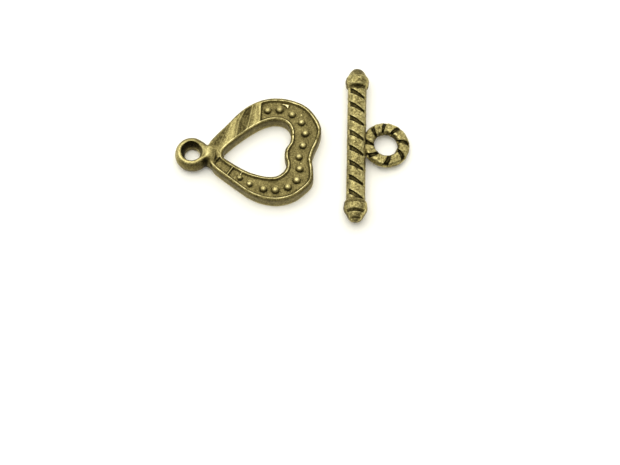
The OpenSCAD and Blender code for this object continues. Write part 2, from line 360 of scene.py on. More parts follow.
def antiqueBrass():
    # Antique brass plate on a cast zinc alloy: dark olive patina stays in the hollows, and the
    # crests are rubbed back to pale yellow metal, so every relief reads as light on dark.
    # Worn = tone + each noise x its share, and it sets both colour and roughness.
    material = bpy.data.materials.new("antiqueBrass")
    tree = emptyTree(material)
    place = addNode(tree, "ShaderNodeTexCoord").outputs["Object"]
    stretched = addNode(tree, "ShaderNodeMapping",
                        values={"Rotation": brass["scratchTurn"], "Scale": brass["scratchScale"]},
                        links={"Vector": place}).outputs["Vector"]

    def addShare(base, noise, amount):
        # base + (noise - 0.5) * amount
        centred = addNode(tree, "ShaderNodeMath", {"operation": "MULTIPLY_ADD"},
                          {1: amount, 2: -amount / 2}, {0: noise}).outputs[0]
        return addNode(tree, "ShaderNodeMath", {"operation": "ADD"}, links={0: base, 1: centred}).outputs[0]

    worn = addNode(tree, "ShaderNodeAttribute", {"attribute_name": "tone"}).outputs["Fac"]
    noise = {}
    for name, (size, detail, share) in brass["noise"].items():
        noise[name] = addNode(tree, "ShaderNodeTexNoise",
                              values={"Scale": 1 / (size * mm), "Detail": detail},
                              links={"Vector": stretched if name == "scratches" else place}).outputs["Fac"]
        worn = addShare(worn, noise[name], share)
    ramp = addNode(tree, "ShaderNodeValToRGB", links={"Fac": worn})
    band = ramp.color_ramp
    band.interpolation = "LINEAR"
    while len(band.elements) < len(brass["ramp"]):
        band.elements.new(0.5)
    for element, (at, colour) in zip(band.elements, brass["ramp"]):
        element.position = at
        element.color = hexColour(colour)

    rough = addNode(tree, "ShaderNodeMapRange",
                    values={"To Min": brass["dullRough"], "To Max": brass["brightRough"]},
                    links={"Value": worn}).outputs["Result"]
    rough = addShare(rough, noise["grit"], brass["gritRough"])
    skin = {}
    for name, strength, height in brass["bumps"]:
        bump = addNode(tree, "ShaderNodeBump", values={"Strength": strength, "Distance": height * mm},
                       links={"Height": noise[name], **skin})
        skin = {"Normal": bump.outputs["Normal"]}
    shader = addNode(tree, "ShaderNodeBsdfPrincipled", values={"Metallic": 1.0},
                     links={"Base Color": ramp.outputs["Color"], "Roughness": rough, **skin})
    addNode(tree, "ShaderNodeOutputMaterial", links={"Surface": shader.outputs["BSDF"]})
    return material


# Heart-shaped loop: places are along and across it from the eye's middle

heart = {
    "length": 15.1,  # from the neck to the far lobe
    "width": 14.75,  # over both lobes
    "thick": 2.0,
    "bandWidth": 3.9,  # at its widest place
    "neckAt": 1.7,  # from the eye's middle
    "edge": 0.26,  # rounding of the upper edges
    "backEdge": 0.12,
    "rim": 0.15,  # from that rounding to the slope
    "channel": 0.28,  # depth of the channel below the rims
    "slope": 0.18,  # from a rim down to the channel's floor
    "corner": 0.12,  # rounding of the channel's corners, seen from above
    "startWall": [3.15, -1.23, 3.54, -0.77],  # a line between two places, where the channel starts
    "startFrom": 20, "endTo": 12,  # the stations after and before which these walls count
    "endWall": 8.85,  # where the channel ends in the upper lobe
    "endLean": 0.05, "endAcross": 6.0,  # how it leans from that place across the heart
    "crestHalf": 0.045,  # half width of the line to which each rim is rubbed
    "crestRise": 0.05,
    "crestFrom": [-0.16, 0.4],  # from the channel's walls: where it starts, and over how far
    "armCrestFrom": [2.6, 2.4],  # the same for the solid arm's inner edge, along the heart
    "lobesFrom": [11.9, 1.2],  # and for the part where the rims were rubbed wider
    "lobesMiddle": 1.0,  # that part's middle across the heart
    "lobesTo": [3.9, 1.6],  # from there: where it ends, and over how far
    "crestWider": 0.7,
    "crestShare": 0.85, "lobesShare": -0.05,  # how much of it is rubbed, and how much more over the lobes
    "rimRough": 0.035, "rimTop": 0.3,  # and the share of it to which bumps are rubbed down
    "slopeLightFrom": [0.12, 0.15],  # from the channel's walls, where the slope's painted light starts
    "rimFade": 0.3,  # and over how far the rims' paint does
    "beadSink": 0.05, "beadSoft": 0.06, "beadFade": 0.15,
    "footWide": 0.12, "footLow": 0.25,  # painted light and shade in a ring round a bead's foot, paler on the side towards the light and darker on the side away from it; its width, and its strength at the sides
    "barDrop": 0.05,  # from the rims down to the cross bars
    "barHalf": 0.05,  # half width of a cross bar's flat top
    "barFall": 0.5, "barSide": 0.16, "barSoft": 0.04,  # how far its sides fall, and over what width
    "barEdge": [0.14, 0.06],  # where its paint ends, and over how far
    "flashEdge": 0.08, "flashSink": 0.02, "flashFade": 0.06,  # the sides of overrun metal
    "armFrom": -0.9,  # across the heart, from where the arm is solid
    "armTo": 7, "neckTo": 1.5,  # stations before which the arm and the neck are
    "lastRise": 0.55,  # how far the last rise would run on past the end wall
    "fluteSide": 0.35,  # share of a flute that each of its sides takes
    "fluteEdge": 0.5, "fluteLeast": 0.4,  # so near the arm's edges flutes get less deep, down to a share
    "fluteFrom": [-0.2, 1.6],  # across the heart: where flutes start, and over how far
    "toolLines": 3, "toolRise": 0.012,  # fine lines in each flute, left by the mould maker's tool
    "neckDip": [2.95, -0.35, 0.45, 0.9],  # a shallow dip in the neck: place and half sizes
    "dipReach": 1.2, "dipDepth": 0.06,
    "neckFoot": [3.08, -1.0, 0.34, 0.42],  # the dark place at its foot
    "wallShadeFrom": [2.4, 0.7],  # from the eye's middle, where the walls' painted shade starts
    "shoulderFrom": [-0.7, 0.5],  # and from the top, where that of their shoulders does
    "pits": 130, "pitDepth": 0.22,  # on the back
    "pitR": [0.20, 0.17, 1.5],  # smallest, how much more, and how rare large ones are
    "pitEdge": 0.12,  # from the band's edges
    "pitApart": [0.86, 0.04],  # least distance of two: share of their radii, and more
    "pitWall": [0.03, 0.13],  # how far outside it a pit's wall starts, and its width
    "pitSeed": 11, "pitTries": 6000,
    "sections": 600, "curveSteps": 3000,  # along the band
    "fineTo": 0.62,  # from each edge, up to where points across the band lie closer
    "across": {"wall": 9, "edge": 7, "backEdge": 4, "rim": 11, "front": 44, "back": 46},
}

# Uneven skin and shades on the heart. Columns: height, size, seed
heartGrains = {
    "rim": [[1.0, 0.35, 3]], "floor": [[0.02, 0.9, 4], [0.012, 0.3, 5]],
    "arm": [[0.02, 0.4, 6], [0.012, 0.18, 10]], "wall": [[0.012, 0.5, 7], [0.006, 0.2, 8]],
    "tool": [[2.0, 1.2, 9]], "armShade": [[0.08, 0.7, 12]],
    "crest": [[0.5, 0.4, 13]], "lobes": [[0.8, 0.22, 14]],
}

# How much darker or brighter a part of the heart is than its relief alone makes it. The walls carry painted
# shade, the slopes painted light, the beads a painted highlight and their feet painted light and shade
heartPaint = {
    "wall": -0.10, "shoulder": -0.26, "rim": -0.26, "crest": 0.72, "armCrest": 0.6, "slope": 0.24,
    "floor": -0.09, "bead": 0.10, "beadFootLightAndShade": 0.46, "crossBar": -0.16, "flash": 0.5, "ridge": -0.03,
    "neck": -0.20, "neckFoot": -0.50, "back": 0.14, "pit": -0.45,
}

# The band, station by station from the neck over the upper lobe and back. Columns: outer edge
# along the heart (share of its length), outer edge across it (share of its width), width to
# the inner edge (share of bandWidth), direction of that width in degrees
bandStations = np.array([
    [0.000, -0.010, 0.597, -5], [0.023, 0.068, 0.584, -19], [0.089, 0.158, 0.580, -37],
    [0.186, 0.266, 0.627, -52], [0.285, 0.380, 0.745, -64], [0.384, 0.461, 0.823, -74],
    [0.497, 0.514, 0.852, -85], [0.616, 0.530, 0.845, -97], [0.742, 0.510, 0.857, -111],
    [0.866, 0.451, 0.934, -129], [0.952, 0.349, 0.997, -147], [1.000, 0.233, 1.062, -163],
    [0.984, 0.125, 0.995, -172], [0.944, 0.024, 0.974, -180], [0.921, -0.068, 0.916, -186],
    [0.931, -0.169, 0.926, -196], [0.927, -0.268, 0.987, -205], [0.874, -0.346, 0.971, -214],
    [0.764, -0.434, 0.951, -232], [0.629, -0.470, 0.929, -249], [0.497, -0.453, 0.871, -262],
    [0.377, -0.399, 0.769, -271], [0.271, -0.320, 0.636, -283], [0.172, -0.241, 0.557, -297],
    [0.086, -0.169, 0.537, -320], [0.023, -0.088, 0.563, -348],
])

# Beads. Columns: along, across, diameter, how much higher it sits
beads = [
    [9.80, 6.05, 0.92, 0], [11.37, 6.12, 0.96, 0], [13.00, 5.45, 0.90, 0], [14.25, 4.30, 0.90, 0],
    [14.75, 2.70, 0.92, 0], [14.45, 0.95, 0.88, 0], [13.92, -0.67, 0.90, 0], [14.00, -2.37, 0.92, 0],
    [13.63, -4.00, 0.96, 0], [12.50, -4.97, 0.94, 0], [10.88, -5.37, 0.96, 0], [9.35, -5.22, 0.92, 0],
    [7.54, -4.52, 0.80, 0], [6.28, -3.62, 0.74, 0.02],
]

# Thin cross bars in the lower arm, as straight runs. Columns: from along, across, to along, across
crossBars = [
    [4.62, -3.30, 5.42, -2.10], [6.72, -2.72, 6.46, -3.10], [6.46, -3.10, 6.30, -3.60],
]

# Edges of the flutes across the upper arm, left to right, at places across the heart:
# the shallow flute's two edges, then the deep one's
fluteAcross = [-0.6, 1.1, 2.2, 3.1, 4.5, 6.3, 7.2]
fluteEdges = {
    "shallowLeft": [1.9, 2.45, 3.1, 3.7, 4.5, 5.4, 5.8],
    "shallowRight": [3.3, 3.75, 4.1, 4.4, 5.0, 5.9, 6.3],
    "deepLeft": [5.2, 5.4, 5.6, 5.75, 5.98, 6.85, 7.25],
    "deepRight": [6.3, 6.5, 6.8, 7.15, 7.5, 7.8, 8.0],
}
# From one edge to the next. Columns: left edge, right edge, rise (negative for a flute), paint
fluteRuns = [
    ["shallowLeft", "shallowRight", -0.06, -0.09], ["shallowRight", "deepLeft", 0.06, 0.10],
    ["deepLeft", "deepRight", -0.16, -0.14], ["deepRight", "end", 0.08, 0.10],
]

# Bits of metal that ran over in the mould. Columns: from along, across, to along, across,
# half width, height above the channel's floor
flash = [
    [11.78, 6.92, 12.48, 6.78, 0.05, 0.16], [12.48, 6.76, 12.40, 6.50, 0.09, 0.16],
    [12.20, 6.78, 12.42, 6.62, 0.09, 0.16],
    [14.17, 5.42, 14.25, 5.36, 0.07, 0.06],
    [13.38, -1.25, 13.42, -1.22, 0.05, 0.07], [14.17, -1.62, 14.25, -1.60, 0.06, 0.06],
]


def frontRelief(x, y, fromOuter, fromInner, t):
    # Height of the front and its paint. Rims, channel, beads, bars and flutes are smooth steps
    # of the distance to their own edges, and the highest or lowest one wins. The slope's paint,
    # painted light on the channel's slopes, is 4v(1 - v) of its share v, strongest halfway down.
    h, p, g = heart, heartPaint, heartGrains
    places = np.stack([x, y, np.zeros_like(x)], axis=-1)
    toEdge = np.minimum(fromOuter, fromInner)
    ax, ay, bx, by = h["startWall"]
    pastStart = ((x - ax) * (by - ay) - (y - ay) * (bx - ax)) / math.hypot(bx - ax, by - ay)
    pastEnd = x - h["endWall"] - h["endLean"] * (y - h["endAcross"])
    past = np.where(t > h["startFrom"], pastStart, h["length"])
    past = np.where(t < h["endTo"], pastEnd, past)
    inChannel = ease(softMin(toEdge - h["edge"] - h["rim"], past, h["corner"]) / h["slope"])

    onArm = (fromInner < fromOuter) * fadeIn(x, *h["armCrestFrom"])
    alongRims = np.maximum(fadeIn(past, *h["crestFrom"]), p["armCrest"] * onArm)
    overLobes = fadeIn(x, *h["lobesFrom"]) * fadeOut(np.abs(y - h["lobesMiddle"]), *h["lobesTo"])
    crestHalf = h["crestHalf"] * (1 + h["crestWider"] * overLobes)
    crest = bell(toEdge - h["edge"], h["rim"] / 2, crestHalf) * alongRims
    floor = h["thick"] - h["channel"]
    z = h["thick"] - h["channel"] * inChannel - h["crestRise"] * (1 - crest) * (1 - inChannel)
    z = z + crest * h["rimRough"] * np.minimum(grains(places, g["rim"]), h["rimTop"])
    z = z + inChannel * grains(places, g["floor"])
    share = h["crestShare"] + grains(places, g["crest"])
    rubbed = crest * (share + overLobes * (grains(places, g["lobes"]) + h["lobesShare"]))
    rimPaint = p["rim"] * (1 - inChannel) * ease(past / h["rimFade"])
    paint = p["floor"] * inChannel + p["crest"] * rubbed + rimPaint
    # Painted light on the channel's slopes
    paint = paint + p["slope"] * 4 * inChannel * (1 - inChannel) * fadeIn(past, *h["slopeLightFrom"])

    for along, across, wide, lift in beads:
        away = np.hypot(x - along, y - across)
        ball = np.sqrt(np.maximum((wide / 2) ** 2 - away**2, 0))
        dome = floor - h["beadSink"] + lift + ball - np.maximum(away - wide / 2, 0)
        z = np.where(inChannel > 0.5, softMax(z, dome, h["beadSoft"]), z)
        # Painted light and shade round each bead's foot: paler on the side towards the light, darker on the
        # side away from it. The dome is paler too: rubbed metal with a painted highlight.
        foot = bell(away, wide / 2, h["footWide"]) * (h["footLow"] + (y - across) / wide)
        shade = p["bead"] * fadeOut(away, wide / 2, h["beadFade"]) + p["beadFootLightAndShade"] * foot
        paint = paint + shade * inChannel
    for ax, ay, bx, by in crossBars:
        away = toSegment(x, y, ax, ay, bx, by)
        top = h["thick"] - h["barDrop"] - h["barFall"] * fadeIn(away, h["barHalf"], h["barSide"])
        z = np.where(inChannel > 0, softMax(z, top, h["barSoft"]), z)
        paint = paint + p["crossBar"] * fadeOut(away, *h["barEdge"]) * inChannel
    for ax, ay, bx, by, half, rise in flash:
        away = toSegment(x, y, ax, ay, bx, by)
        slope = fadeOut(away, half + h["flashEdge"], h["flashEdge"])
        z = np.maximum(z, floor + rise * slope - h["flashSink"])
        paint = paint + p["flash"] * fadeOut(away, half, h["flashFade"]) * inChannel

    arm = (y > h["armFrom"]) & ((t < h["armTo"]) & (x < h["endWall"]) | (t < h["neckTo"]))
    edges = {name: np.interp(y, fluteAcross, row) for name, row in fluteEdges.items()}
    edges["end"] = h["endWall"] + h["lastRise"] + 0 * y
    nearEdge = ease(toEdge / h["fluteEdge"]) * (1 - h["fluteLeast"]) + h["fluteLeast"]
    fromNeck = fadeIn(y, *h["fluteFrom"])
    for left, right, rise, shade in fluteRuns:
        u = (x - edges[left]) / (edges[right] - edges[left])
        inside = arm & (u > 0) & (u < 1)
        flat = ease(u / h["fluteSide"]) * ease((1 - u) / h["fluteSide"])
        change = rise * flat * nearEdge if rise < 0 else -rise * (1 - flat)
        waves = np.cos(2 * np.pi * h["toolLines"] * u + grains(places, g["tool"]))
        z = np.where(inside, z + (change + h["toolRise"] * waves * flat) * fromNeck, z)
        paint = np.where(inside, paint + shade * flat * fromNeck + p["ridge"], paint)
    z = z + np.where(arm, grains(places, g["arm"]), 0)
    paint = paint + np.where(arm, grains(places, g["armShade"]), 0)

    dip = ease(h["dipReach"] - fromSpot(x, y, h["neckDip"]))
    foot = bell(fromSpot(x, y, h["neckFoot"]), 0, 1)
    return z - h["dipDepth"] * dip, paint + p["neck"] * dip + p["neckFoot"] * foot


def backRelief(x, y, fromOuter, fromInner):
    # Round pits scattered over the flat back, drawn one after another where none lies yet. A
    # pit's wall is an eased step of the distance from its middle.
    h = heart
    rng = np.random.default_rng(h["pitSeed"])
    low, high = np.array([x.min(), y.min()]), np.array([x.max(), y.max()])
    flat = np.stack([x.ravel(), y.ravel()], axis=1)
    room = np.minimum(fromOuter, fromInner).ravel()
    least, more, rare = h["pitR"]
    share, gap = h["pitApart"]
    pits = []
    for _ in range(h["pitTries"]):
        if len(pits) == h["pits"]:
            break
        middle = low + rng.random(2) * (high - low)
        r = least + more * rng.random() ** rare
        nearest = np.argmin(np.sum((flat - middle) ** 2, axis=1))
        if np.linalg.norm(flat[nearest] - middle) > h["pitEdge"] or room[nearest] < h["pitEdge"] + r / 2:
            continue
        if all(np.hypot(*(middle - p[:2])) > share * (r + p[2]) + gap for p in pits):
            pits.append([*middle, r])
    z, paint = np.zeros_like(x), heartPaint["back"] + np.zeros_like(x)
    outside, wall = h["pitWall"]
    for along, across, r in pits:
        away = np.hypot(x - along, y - across)
        bowl = fadeOut(away, r + outside, wall)
        z = np.maximum(z, h["pitDepth"] * bowl)
        paint = paint + heartPaint["pit"] * bowl
    print("pits on the back:", len(pits))
    return z, paint


def bandSection():
    # Columns of the closed cross section: distance from the outer edge as an offset plus a
    # share of the width, height, and 1 on the front or 2 on the back. Its edges are quarter
    # circles, and the side at the inner edge mirrors the outer one.
    h, n = heart, heart["across"]
    edge, back, top, fine = h["edge"], h["backEdge"], h["thick"], h["fineTo"]
    turn = np.radians(np.linspace(0, 90, n["edge"]))
    chamfer = np.radians(np.linspace(0, 90, n["backEdge"]))
    across, under = np.linspace(0, 1, n["front"]), np.linspace(0, 1, n["back"])

    def run(offset, share, height, kind):
        count = max(np.size(offset), np.size(share), np.size(height))
        return np.stack([np.broadcast_to(v, count) for v in (offset, share, height, kind)], axis=1)

    def mirror(side):
        return side * [-1, 1, 1, 1] + [0, 1, 0, 0]

    side = np.concatenate([
        run(0, 0, np.linspace(back, top - edge, n["wall"]), 0)[:-1],
        run(edge * (1 - np.cos(turn)), 0, top - edge + edge * np.sin(turn), 0)[:-1],
        run(np.linspace(edge, fine, n["rim"]), 0, top, 1)[:-1],
    ])
    corner = run(back * np.sin(chamfer), 0, back * np.cos(chamfer), 0)[1:-1]
    front = run(fine - 2 * fine * across, across, top, 1)
    flatBack = run(-back + 2 * back * under, 1 - under, 0, 2)
    return np.concatenate([side, front, mirror(side[::-1]), mirror(corner), flatBack, corner[::-1]])


def heartBand():
    # The cross section is carried round the loop at even steps, and the reliefs then move the
    # front and back up and down
    h = heart
    turn = np.radians(bandStations[:, 3])
    outer = bandStations[:, :2] * [h["length"], h["width"]] + [h["neckAt"], 0]
    inner = outer + h["bandWidth"] * bandStations[:, 2:3] * np.stack([np.cos(turn), np.sin(turn)], axis=1)
    fine = np.linspace(0, len(outer), h["curveSteps"])
    middle = (closedCurve(outer, fine) + closedCurve(inner, fine)) / 2
    run = np.concatenate([[0], np.cumsum(np.linalg.norm(np.diff(middle, axis=0), axis=1))])
    t = np.interp(np.arange(h["sections"]) / h["sections"] * run[-1], run, fine)
    a, b = closedCurve(outer, t), closedCurve(inner, t)
    wide = np.linalg.norm(b - a, axis=1)
    way = (b - a) / wide[:, None]

    section = bandSection()
    fromOuter = section[:, 0] + section[:, 1] * wide[:, None]
    x = a[:, :1] + way[:, :1] * fromOuter
    y = a[:, 1:] + way[:, 1:] * fromOuter
    z = np.broadcast_to(section[:, 2], x.shape).copy()
    paint = np.zeros_like(x)
    fromInner = wide[:, None] - fromOuter
    station = np.broadcast_to(t[:, None], x.shape)
    front, back = section[:, 3] == 1, section[:, 3] == 2
    z[:, front], paint[:, front] = frontRelief(x[:, front], y[:, front], fromOuter[:, front],
                                               fromInner[:, front], station[:, front])
    z[:, back], paint[:, back] = backRelief(x[:, back], y[:, back], fromOuter[:, back], fromInner[:, back])
    side = ~(front | back)
    points = np.stack([x + eyePlace[0], y + eyePlace[1], z], axis=-1)
    skin = grains(points[:, side], heartGrains["wall"])
    fromNeck = fadeIn(np.hypot(x[:, side], y[:, side]), *h["wallShadeFrom"])
    shoulder = fadeIn(z[:, side] - h["thick"], *h["shoulderFrom"])
    # Painted shade on the sides, darker still on their rounded shoulders, fading out near the neck
    paint[:, side] = (heartPaint["wall"] + heartPaint["shoulder"] * shoulder) * fromNeck
    points[:, side, :2] += way[:, None] * skin[..., None]
    return makeMesh("heartCasting", points, paint, closed=True)


# A side below is a direction and a spread, in radians round the eye
eye = {
    "holeR": 1.0,
    "wall": 1.26,
    "high": 2.3,
    "waist": [0.4, 1.0],  # heights between which the hole is straight
    "mouth": 0.34,  # place of the hole's upper edge, as a share of the wall
    "flare": 1.25,  # how the hole opens to that line: 1 is a cone, more is a trumpet
    "crestWidth": 0.03,
    "outShift": [0.06, -0.08],  # the outside is a little off the hole's middle
    "lipSide": [-2.3, 1.3],  # where the crest stands off the hole
    "lipWidth": 0.17, "lipDrop": 0.05,
    "ridgeSide": [0.0, 0.62],  # the ridge on the neck
    "ridgeShift": 0.70,  # how far the crest moves out there
    "mouthDrop": 0.22,  # how far the hole's edge lies below it
    "slopeSide": [0.72, 0.62],  # where the top slopes to the arm
    "slopeDrop": 0.42,
    "neckSide": [-0.08, 0.52],  # the neck itself
    "neckReach": 0.70,  # how far the outside moves there
    "sideEdge": 2.5,  # how squarely a side ends
    "points": {"outside": 25, "crest": 8, "flare": 18, "foot": 8},
    "around": 170,
}

# What darkens or brightens the eye: painted shade on its outside, lip and hole, and painted light on its
# left side. Sides as above, places and half widths across the crest in mm
eyePaint = {
    "crest": 0.05, "crestWide": 0.12, "ridgeWide": 0.08, "slope": -0.16, "out": -0.32, "outFade": 0.4,
    "ridge": 0.20, "ridgeLit": [-0.32, 0.50],  # the part of the ridge that was rubbed bright
    "flat": 0.12, "paintedLightSide": [3.10, 0.85], "paintedLightAt": [0.25, 0.2],  # painted light: a broad, paler band on top just outside the crest, on the left side, which faces the light
    "outShadeLift": 0.6,  # how much less the outside's painted shade is there
    # Painted shade: a thin dark line at the hole's edge on its near side
    "lip": -0.45, "lipShadeSide": [-1.5, 0.75], "lipShadeAt": [0.03, 0.07],
    "hole": -0.34, "holeLit": [0.1, 0.9], "holeFade": 0.08,  # painted shade inside the hole; lit is its paler side
}

# The eye's uneven skin. Columns: height, size, seed
eyeGrains = [[0.02, 0.7, 21], [0.01, 0.25, 22]]

# The neck's low lump between the eye and the heart: its middle from the eye's, its half sizes
# and how boxy it is upright (1 is an ellipsoid). Shades: along, across, radius, paint
neck = {
    "middle": [2.40, -0.38, 1.02], "half": [0.78, 1.50, 1.02], "boxy": 0.5, "paint": -0.08,
    "shades": [[1.85, -1.15, 0.55, -0.42], [2.30, 0.62, 0.38, 0.24]],
    "poles": 88,  # degrees up and down, from which small caps close it
    "rings": 31,
    "around": 60,
}


def neckShade(x, y):
    # Painted shade in the corner under the ridge on the neck, where the eye meets the lower arm, and a
    # paler place above it, from the eye's middle
    return sum(shade * np.exp(-((x - along) ** 2 + (y - across) ** 2) / wide**2)
               for along, across, wide, shade in neck["shades"])


def eyeRing():
    # A profile turned round the eye's axis: half an ellipse outside, a straight waist inside,
    # from the waist up to the hole's edge a flare r = u^flare, and down to the back a quarter
    # of an ellipse. On the heart's side the crest lies further out, as a ridge across the neck,
    # and on the lip's side a little off the hole.
    e, p, n = eye, eyePaint, eye["points"]
    holeR, high, (waistLow, waistHigh) = e["holeR"], e["high"], e["waist"]
    to = turnSteps(e["around"])[:, None]

    def toward(at, spread):
        return np.exp(-(np.abs(np.angle(np.exp(1j * (to - at)))) / spread) ** e["sideEdge"])

    ridge, lip = toward(*e["ridgeSide"]), toward(*e["lipSide"])
    slope, nearNeck = toward(*e["slopeSide"]), toward(*e["neckSide"])
    outR = holeR + e["wall"] + e["neckReach"] * nearNeck
    mouthR = holeR + e["wall"] * e["mouth"] + 0 * to
    crestR = mouthR + e["crestWidth"] + e["ridgeShift"] * ridge + e["lipWidth"] * lip
    top = high - e["slopeDrop"] * slope
    mouthZ = top - e["mouthDrop"] * ridge * (1 - slope) - e["lipDrop"] * lip
    out = np.radians(np.linspace(-90, 90, n["outside"]))
    inward = np.linspace(1, 0, n["crest"])[1:]
    up = np.linspace(1, 0, n["flare"])[1:]
    down = np.radians(np.linspace(180, 270, n["foot"]))[:-1]
    r = np.concatenate([
        crestR + (outR - crestR) * np.cos(out),
        mouthR + (crestR - mouthR) * inward,
        holeR + (mouthR - holeR) * up ** e["flare"],
        crestR + (crestR - holeR) * np.cos(down),
    ], axis=1)
    z = np.concatenate([
        top / 2 * (1 + np.sin(out)),
        mouthZ + (top - mouthZ) * inward,
        waistHigh + (mouthZ - waistHigh) * up,
        waistLow * (1 + np.sin(down)) + 0 * to,
    ], axis=1)
    aside = np.clip((r - crestR) / (outR - crestR), 0, 1)
    x, y = r * np.cos(to) + e["outShift"][0] * aside, r * np.sin(to) + e["outShift"][1] * aside
    points = np.stack([eyePlace[0] + x, eyePlace[1] + y, z], axis=-1)
    rough = grains(points, eyeGrains)
    points[..., 0] += rough * np.cos(to)
    points[..., 1] += rough * np.sin(to)

    upper = z > high / 2
    onCrest = bell(r, crestR, p["crestWide"] + p["ridgeWide"] * ridge) * upper
    paint = (p["crest"] + p["ridge"] * toward(*p["ridgeLit"]) + p["slope"] * slope) * onCrest
    flat = toward(*p["paintedLightSide"])
    # Painted shade on the ring's outside, less near the neck and on the left side, which faces the light;
    # there a band of painted light lies on top
    outside = fadeIn(r, crestR, p["outFade"]) * (1 - nearNeck) * (1 - p["outShadeLift"] * flat)
    onPaintedLight = flat * bell(r - crestR, *p["paintedLightAt"]) * upper
    # Painted shade along the hole's edge on its near side
    shadeOnLip = toward(*p["lipShadeSide"]) * bell(r - mouthR, *p["lipShadeAt"]) * upper
    # Painted shade inside the hole, except on its lit side
    shadeInHole = (1 - toward(*p["holeLit"])) * fadeOut(r, mouthR, p["holeFade"])
    paint = paint + p["out"] * outside + p["flat"] * onPaintedLight + p["lip"] * shadeOnLip
    paint = paint + neckShade(x, y) + p["hole"] * shadeInHole
    return makeMesh("eyeRing", points, paint, closed=True)


def neckLump():
    # Rings from one pole to the other: radius cos(up)^boxy and height sin(up)^boxy
    up = np.radians(np.linspace(neck["poles"], -neck["poles"], neck["rings"]))[:, None]
    to = turnSteps(neck["around"])
    wide, high = np.cos(up) ** neck["boxy"], np.sign(up) * np.abs(np.sin(up)) ** neck["boxy"]
    ball = np.stack([wide * np.cos(to), wide * np.sin(to), high + 0 * to], axis=-1)
    points = ball * neck["half"] + neck["middle"]
    paint = neck["paint"] + neckShade(points[..., 0], points[..., 1])
    return makeMesh("neckLump", points + [eyePlace[0], eyePlace[1], 0], paint, closed=False)


# Rounds of smoothing along the seams and for the tone, and depths in mm that count as fully hollow
heartFinish = {
    "seamRings": 10, "seamSpread": 1.2, "seamRounds": 60,
    "fineRounds": 6, "fineHollow": 0.040, "fineShare": 0.55,
    "broadRounds": 60, "broadHollow": 0.20, "broadShare": 0.45,
    "tone": 0.48, "toneRange": 0.5,
}

heartCasting = heartBand()
fuse(heartCasting, [eyeRing(), neckLump()])
finishCasting(heartCasting, heartFinish)
print("heart loop made")


# Toggle bar

bar = {
    "length": 21.9,
    "shaftR": 1.24,
    "collarR": 1.57,
    "knob": 2.95,
    "reach": 3.87,  # from the bar's line to the middle of its ring
    "ringAt": 0.2,  # the ring's place along the bar, from its middle
    "pitch": 2.08,
    "lead": 4.16,  # two grooves wind side by side
    "grooveDepth": 0.22, "grooveHalf": 0.31, "grooveWall": 0.08,  # half its width, with its walls
    "grooveTaper": 0.11,  # narrower towards the ring's side
    "moreGrooves": 4,  # how many the winding is carried on for, beyond those in the table
    "crown": 0.03,  # how far a strand bulges between its grooves
    "flatTop": 1.12,  # height to which the strands are rubbed, above the bar's line
    "flatGroove": 0.6,  # share of the groove's depth left in that flat
    "flatSoft": 0.16,
    "flatTo": 0.6,  # cosine of the angle from the crest at which the flat ends
    "partingTurn": 7,  # degrees from the ring's plane to the line where the mould closed
    "partingRise": 0.02, "partingHalf": 0.06,
    "plainFrom": 0.50,  # cosine of the angle from the crest at which the grooves end
    "plainFade": 0.14,
    "knobTo": [0.93, 0.08],  # shares of the knob: where the shaft starts, and over how far
    "tipFine": 0.03, "tipRings": 7,  # share of the knob at its tip where rings lie closer
    "knobRings": 66,
    "lineSharp": 2.5,  # how steep the sides of the knob's dark lines are
    "calmTip": 0.5,  # radius below which the skin gets calmer
    "along": 520, "around": 120,
}

# The grooves on the shaft's crest, from the bar's middle
grooveAt = np.array([-7.71, -5.66, -3.59, -1.49, 0.72, 2.86, 4.85, 6.82])

# A knob from its tip. Columns: share of its length, share of the collar's radius
knobShape = np.array([
    [0.00, 0.01], [0.005, 0.20], [0.035, 0.39], [0.09, 0.49], [0.14, 0.57], [0.20, 0.64], [0.26, 0.70],
    [0.32, 0.75], [0.38, 0.81], [0.43, 0.88], [0.50, 0.95], [0.56, 0.98], [0.62, 1.00], [0.70, 0.985],
    [0.78, 0.965], [0.85, 0.95], [0.90, 0.90], [0.95, 0.84], [1.00, 0.79],
])

# Dark lines across the knobs. The two deepest, at the far knob's step to the shaft and the near
# knob's step from dome to collar, are painted shade where the step faces away from the light.
# Columns: end (1 far, -1 near), place from the tip and half width as shares of the knob, depth, paint
knobLines = [
    [1, 1.00, 0.10, 0.14, -0.16], [1, 0.41, 0.025, 0.04, -0.12], [1, 0.05, 0.33, 0.00, -0.14],
    [-1, 0.40, 0.07, 0.12, -0.20],
    [-1, 0.10, 0.045, 0.03, -0.20], [-1, 0.00, 0.05, 0.00, -0.22], [-1, 0.82, 0.09, 0.03, -0.16],
]

rope = {
    "holeR": 1.54,
    "wireR": 0.79,
    "grooveDepth": 0.3, "grooveHalf": 0.31, "grooveWall": 0.14,
    "lead": 48,  # degrees round the ring for one turn round the wire
    "crown": 0.05,  # how far a strand bulges between its grooves
    "sink": 0.03,  # the wire's own radius is smaller by this
    "flat": 0.66,  # height at which the strands are rubbed flat
    "flatSoft": 0.12,
    "plainFrom": [0.1, 0.3],  # sine of the angle from the ring's plane: where grooves start
    "along": 440, "around": 64,
}

# The grooves on top of the ring, in degrees round it from the side away from the shaft
ropeGrooveAt = np.array([-176, -134, -84, -34, 9, 60, 100, 135])

# Uneven skin and specks on the bar and its ring. Columns: height, size, seed
barGrains = {
    "shaft": [[0.022, 0.55, 31], [0.013, 0.22, 32]], "shaftSpeck": [[0.20, 0.14, 33]],
    "rope": [[0.02, 0.45, 41], [0.01, 0.2, 42]], "ropeSpeck": [[0.20, 0.14, 43]],
}

